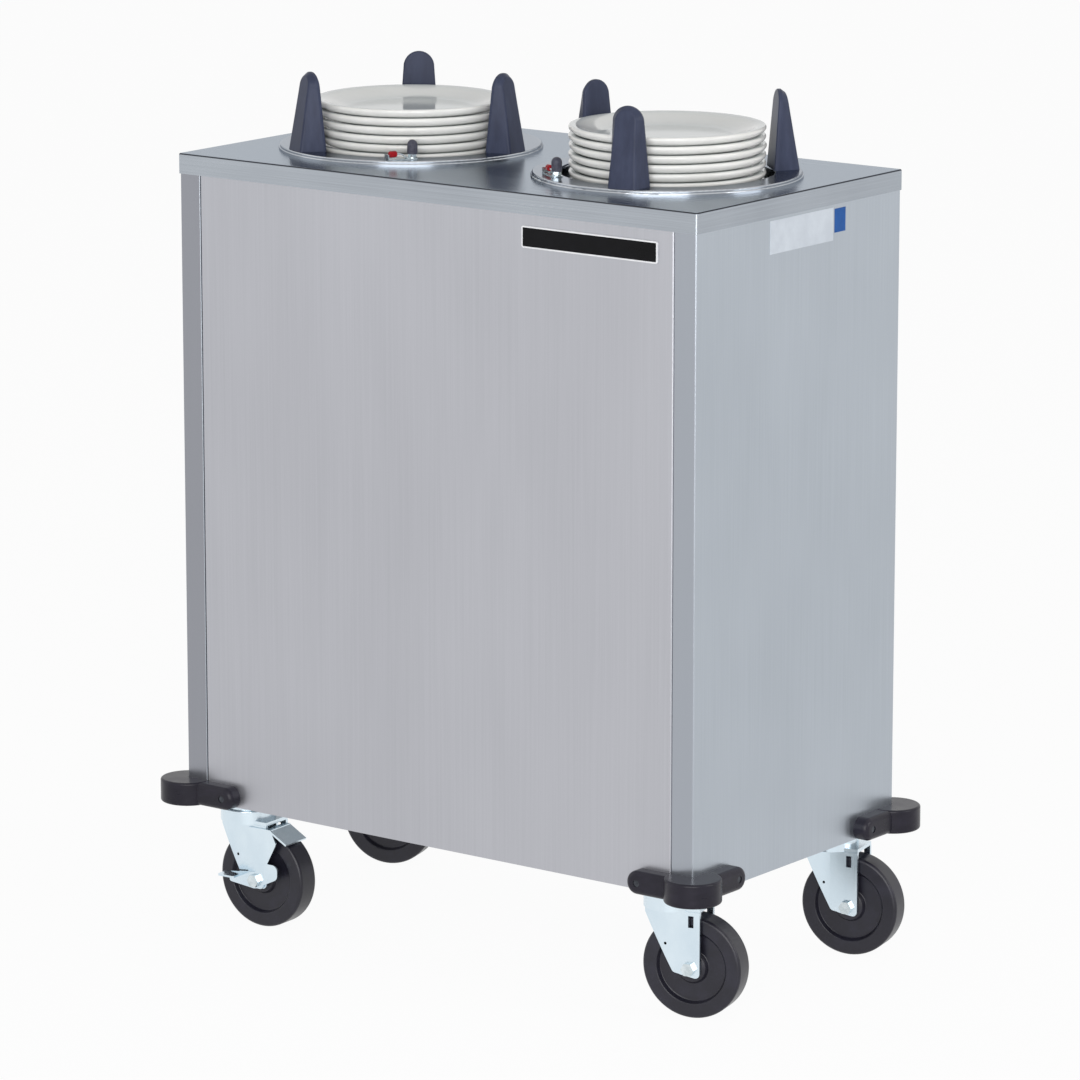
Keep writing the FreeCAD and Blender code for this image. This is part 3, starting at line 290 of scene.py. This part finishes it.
# Pressed steel, zinc plated: bright and slightly blue
zincLook = {"scuff": (60, 60, 90), "grit": 2.5, "dark": "#d3e2ec", "light": "#deebf3",
            "from": (0.35, 0.65), "rough": (0.2, 0.26), "depth": 0.01, "metal": 1.0,
            "ior": 1.5}
# Turned steel, zinc plated: smaller and duller patches than on pressed steel
boltLook = dict(zincLook, scuff=(6, 6, 6), dark="#c3ced2", light="#dbe4e8", rough=(0.2, 0.3))
# Drawn wire, bare: a middle grey
wireLook = dict(boltLook, dark="#77797c", light="#8d8f92")
# Steel screws darkened by painted shade, for the shade of the recesses they sit in, with a
# metal's sheen
shadedScrewLook = dict(boltLook, dark="#3a3c41", light="#54575d", rough=(0.3, 0.4))
# Moulded rubber, dusty: a paler black
knobLook = dict(plasticLook, dark="#43434f", light="#5d5e6a", scuff=(4, 4, 4))
# Vinyl, dipped: smooth and glossy
vinylLook = dict(plasticLook, dark="#8f1019", light="#b51d27", scuff=(4, 4, 4),
                 rough=(0.15, 0.25))
# Enamel, baked: deep black with sharp reflections
enamelLook = dict(plasticLook, dark="#0b0b0d", light="#141418", scuff=(40, 40, 40),
                  rough=(0.12, 0.2))
# Polyester film: flat colour under a matt face, and glossier on the badge's border
filmLook = dict(plasticLook, dark="#cbd2db", light="#d8dfe7", scuff=(20, 20, 20),
                rough=(0.35, 0.5))
stickerLook = dict(filmLook, dark="#27569a", light="#2f63ac")
borderLook = dict(filmLook, dark="#e6e7ea", light="#f2f3f5", rough=(0.2, 0.3))
# China, glazed: a warm white with a sharp reflection from the clear glaze, greyed by painted
# shade where it lies level
chinaLook = {"scuff": (45, 45, 45), "grit": 9.0, "dark": "#ecebe7", "light": "#f2f1ee",
             "levelShade": "#d3d8d8", "from": (0.35, 0.65), "rough": (0.07, 0.12), "depth": 0.05,
             "metal": 0.0, "ior": 1.52}

solidSets = {
    "moulded_plastic": ([side + "_silo_" + place + "_guide" for side, place in
                         (("left", "front"), ("left", "right"), ("left", "back"),
                          ("right", "front"), ("right", "right"), ("right", "left"))],
                        plasticLook),
    "moulded_rubber": ([corner + "_bumper" for corner in corners], bumperLook),
    "hard_rubber": ([corner + "_wheel" for corner in corners], tyreLook),
    "bright_zinc": ([corner + part for corner in corners
                     for part in ("_caster_fork", "_caster_mount")]
                    + [corner + part for corner in ("front_left", "back_left")
                       for part in ("_brake_shoe", "_brake_lever")], zincLook),
    "zinc_bolts": ([corner + "_axle" for corner in corners]
                   + ["panel_rivets", "caster_bolts", "guide_screws", "lock_studs",
                      "left_lock_lever", "right_lock_lever"], boltLook),
    # the screws' dark colour is painted shade
    "shaded_screws": (["bumper_screws"], shadedScrewLook),
    "spring_wire": (["left_springs", "right_springs"], wireLook),
    "knob_rubber": (["lock_caps"], knobLook),
    "dipped_vinyl": (["left_lever_tip", "right_lever_tip"], vinylLook),
    "black_enamel": (["badge_plate"], enamelLook),
    "label_film": (["rating_label"], filmLook),
    "sticker_film": (["inspection_sticker"], stickerLook),
    "glazed_china": (["left_plates", "right_plates"], chinaLook),
}
finishes = {}
for name, (nodeNames, look) in solidSets.items():
    finishes[name] = mouldedSurface(name, look)
    dress(nodeNames, finishes[name])
print("materials on")

# Plates: each one spun from half a section, foot at height 0, and smoothed

plateLook = {
    "steps": 48,
    "smoothing": 1,
    "pitch": 11.0,
    "counts": {"left": 12, "right": 10},
    "drift": 0.5,
    "driftTurns": (2.1, 3.7),
    "section": [
        (0, 11), (45, 11), (73, 11), (80, 11.2), (86, 12.6), (104, 20.3), (109, 22.3),
        (113, 23.2), (117, 23.45), (119.3, 22.7), (120, 20.6), (119.5, 18.4), (117.5, 16.2),
        (113.5, 13.6), (109, 12.1), (104, 10.2), (90, 6.9), (80, 6.3), (77.2, 6), (76.9, 3),
        (76, 0.2), (74, 0), (72, 0.2), (71.1, 3), (70.8, 6), (64, 6.4), (35, 6.4), (0, 6.4),
    ],
}


def clearSelection():
    if bpy.context.object and bpy.context.object.mode != "OBJECT":
        bpy.ops.object.mode_set(mode="OBJECT")
    bpy.ops.object.select_all(action="DESELECT")


def selectOnly(piece):
    clearSelection()
    piece.select_set(True)
    bpy.context.view_layer.objects.active = piece


def startPlane(name, size, turn=(0, 0, 0)):
    clearSelection()
    bpy.ops.mesh.primitive_plane_add(size=size, rotation=turn)
    piece = bpy.context.object
    piece.name = name
    bpy.ops.object.transform_apply(location=True, rotation=True, scale=True)
    return piece


def closePiece(piece, material, body, replaced=()):
    clearSelection()
    piece.data.materials.clear()
    piece.data.materials.append(material)
    if body:
        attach(piece, body)
    if replaced:
        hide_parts(*replaced)


def spinPlate():
    # a plane merged to one point, drawn out along the section, then spun once round
    plate = startPlane("plate_pattern", 1)
    bpy.ops.object.mode_set(mode="EDIT")
    bpy.ops.mesh.merge(type="CENTER")
    last = (0, 0)
    for radius, height in plateLook["section"]:
        step = ((radius - last[0]) / perMetre, 0, (height - last[1]) / perMetre)
        if last == (0, 0):
            bpy.ops.transform.translate(value=step)
        else:
            bpy.ops.mesh.extrude_region_move(TRANSFORM_OT_translate={"value": step})
        last = (radius, height)
    bpy.ops.mesh.select_all(action="SELECT")
    bpy.ops.mesh.spin(steps=plateLook["steps"], angle=math.tau, center=(0, 0, 0),
                      axis=(0, 0, 1))
    bpy.ops.mesh.select_all(action="SELECT")
    bpy.ops.mesh.remove_doubles(threshold=mergeDistance)
    bpy.ops.mesh.normals_make_consistent(inside=False)
    bpy.ops.object.mode_set(mode="OBJECT")
    smooth = plate.modifiers.new("smooth", "SUBSURF")
    smooth.levels = plateLook["smoothing"]
    smooth.render_levels = plateLook["smoothing"]
    bpy.ops.object.modifier_apply(modifier="smooth")
    bpy.ops.object.shade_smooth()
    return plate


def stackPlates(pattern, side):
    low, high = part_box(side + "_plates")
    middle = (low.x + high.x) / 2
    # stacked by hand, so each sits a hair off the one below
    drift = plateLook["drift"] / perMetre
    asideTurn, aheadTurn = plateLook["driftTurns"]
    for index in range(plateLook["counts"][side]):
        plate = pattern.copy()
        plate.data = pattern.data.copy()
        plate.name = f"{side}_plate_{index + 1:02d}"
        bpy.context.scene.collection.objects.link(plate)
        selectOnly(plate)
        plate.location = (middle + drift * math.sin(asideTurn * index + middle),
                          drift * math.cos(aheadTurn * index + middle),
                          low.z + index * plateLook["pitch"] / perMetre)
        bpy.ops.object.transform_apply(location=True, rotation=False, scale=False)
        closePiece(plate, finishes["glazed_china"], side + "_plates",
                   [side + "_plates"])


platePattern = spinPlate()
for side in ("left", "right"):
    stackPlates(platePattern, side)
bpy.data.objects.remove(platePattern)
print("plates stacked")

# Springs: hooked to the silo tube above and to the carrier below; each set is a copy of its
# part with its points merged


def stretchSprings(side):
    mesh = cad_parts[side + "_springs"].data.copy()
    springs = bpy.data.objects.new(side + "_spring_set", mesh)
    bpy.context.scene.collection.objects.link(springs)
    selectOnly(springs)
    bpy.ops.object.mode_set(mode="EDIT")
    bpy.ops.mesh.select_all(action="SELECT")
    bpy.ops.mesh.remove_doubles(threshold=mergeDistance)
    bpy.ops.object.mode_set(mode="OBJECT")
    closePiece(springs, finishes["spring_wire"], None, [side + "_springs"])
    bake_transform(springs)


for side in ("left", "right"):
    stretchSprings(side)
print("springs hung")

# Badge: a pale border frames the black plate and stands a little proud of it

borderSizes = {"aside": 0.5, "above": 1.9, "width": 1.8, "corner": 2.6, "cornerSteps": 5,
               "height": 0.25}


def addBadgeBorder():
    low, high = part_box("badge_plate")
    wide = high.x - low.x + 2 * borderSizes["aside"] / perMetre
    tall = high.z - low.z + 2 * borderSizes["above"] / perMetre
    middle = ((low.x + high.x) / 2, high.y, (low.z + high.z) / 2)
    proud = high.y - low.y + borderSizes["height"] / perMetre
    border = startPlane("badge_border", 1, turn=(math.pi / 2, 0, 0))
    bpy.ops.object.mode_set(mode="EDIT")
    bpy.ops.transform.resize(value=(wide, 1, tall))
    bpy.ops.transform.translate(value=middle)
    bpy.ops.mesh.bevel(offset=borderSizes["corner"] / perMetre,
                       segments=borderSizes["cornerSteps"], affect="VERTICES")
    bpy.ops.mesh.select_all(action="SELECT")
    bpy.ops.mesh.inset(thickness=borderSizes["width"] / perMetre, depth=0)
    bpy.ops.mesh.delete(type="FACE")
    bpy.ops.mesh.select_all(action="SELECT")
    bpy.ops.mesh.extrude_region_move(TRANSFORM_OT_translate={"value": (0, -proud, 0)})
    bpy.ops.mesh.select_all(action="SELECT")
    bpy.ops.mesh.normals_make_consistent(inside=False)
    bpy.ops.object.mode_set(mode="OBJECT")
    closePiece(border, finishes["badge_border"], "cabinet")


finishes["badge_border"] = mouldedSurface("badge_border", borderLook)
addBadgeBorder()
print("badge border on")

# Camera, lamps, floor and world, with lengths in metres from here on

cameraLook = {"place": (4.18475, -5.53112, 2.01942), "aim": (-0.58914, 0.77954, -0.21269),
              "lens": 190.0, "sensor": 36.0, "far": 100}


def addCamera():
    lens = bpy.data.cameras.new("camera")
    lens.lens = cameraLook["lens"]
    lens.sensor_width = cameraLook["sensor"]
    lens.clip_end = cameraLook["far"]
    camera = bpy.data.objects.new("camera", lens)
    camera.location = cameraLook["place"]
    camera.rotation_euler = Vector(cameraLook["aim"]).to_track_quat("-Z", "Y").to_euler()
    bpy.context.scene.collection.objects.link(camera)
    bpy.context.scene.camera = camera


lampAim = Vector((0, 0, 0.6))
lamps = {
    "keySoftbox": {"place": (3.0, -4.8, 1.7), "size": 4.8, "power": 245},
    "leftSoftbox": {"place": (-4.6, -2.6, 1.6), "size": 2.4, "power": 8},
    "rightSoftbox": {"place": (4.8, 1.4, 2.4), "size": 2.4, "power": 50},
    "topSoftbox": {"place": (0.3, 0.8, 4.2), "size": 2.6, "power": 7},
}


def addLamp(name, lamp):
    light = bpy.data.lights.new(name, "AREA")
    light.size = lamp["size"]
    light.energy = lamp["power"]
    holder = bpy.data.objects.new(name, light)
    holder.location = lamp["place"]
    aim = lampAim - Vector(lamp["place"])
    holder.rotation_euler = aim.to_track_quat("-Z", "Y").to_euler()
    bpy.context.scene.collection.objects.link(holder)


stageLook = {"floor": "#ececec", "floorGlow": 0.95, "ambient": 0.38, "size": 60}


def seenDirectly(tree):
    # one where a camera, glossy or transmission ray lands, so that the backdrop is white there
    path = addNode(tree, "ShaderNodeLightPath")
    first = addNode(tree, "ShaderNodeMath", {"operation": "MAXIMUM"},
                    {0: path.outputs["Is Camera Ray"], 1: path.outputs["Is Glossy Ray"]})
    second = addNode(tree, "ShaderNodeMath", {"operation": "MAXIMUM"},
                     {0: first.outputs[0], 1: path.outputs["Is Transmission Ray"]})
    return second.outputs[0]


def addFloor():
    bpy.ops.object.select_all(action="DESELECT")
    bpy.ops.mesh.primitive_plane_add(size=stageLook["size"])
    floor = bpy.context.object
    floor.name = "studio_floor"
    material, tree = newMaterial("studio_floor")
    matte = addNode(tree, "ShaderNodeBsdfDiffuse", {"Color": hexColour(stageLook["floor"])})
    glow = addNode(tree, "ShaderNodeEmission", {"Strength": 1.0})
    share = addNode(tree, "ShaderNodeMath",
                    {"operation": "MULTIPLY", 1: stageLook["floorGlow"]},
                    {0: seenDirectly(tree)})
    shader = addNode(tree, "ShaderNodeMixShader",
                     links={0: share.outputs[0], 1: matte.outputs[0], 2: glow.outputs[0]})
    finishMaterial(tree, shader)
    floor.data.materials.append(material)


def setWorld():
    world = bpy.data.worlds.new("studio")
    world.use_nodes = True
    bpy.context.scene.world = world
    tree = world.node_tree
    tree.nodes.clear()
    strength = addNode(tree, "ShaderNodeMapRange",
                       {"To Min": stageLook["ambient"], "To Max": 1.0},
                       {"Value": seenDirectly(tree)})
    background = addNode(tree, "ShaderNodeBackground", {"Color": (1, 1, 1, 1)},
                         {"Strength": strength.outputs[0]})
    addNode(tree, "ShaderNodeOutputWorld", links={"Surface": background.outputs[0]})


addCamera()
for name, lamp in lamps.items():
    addLamp(name, lamp)
addFloor()
setWorld()
bpy.context.scene.view_settings.view_transform = "Standard"
print("stage set")
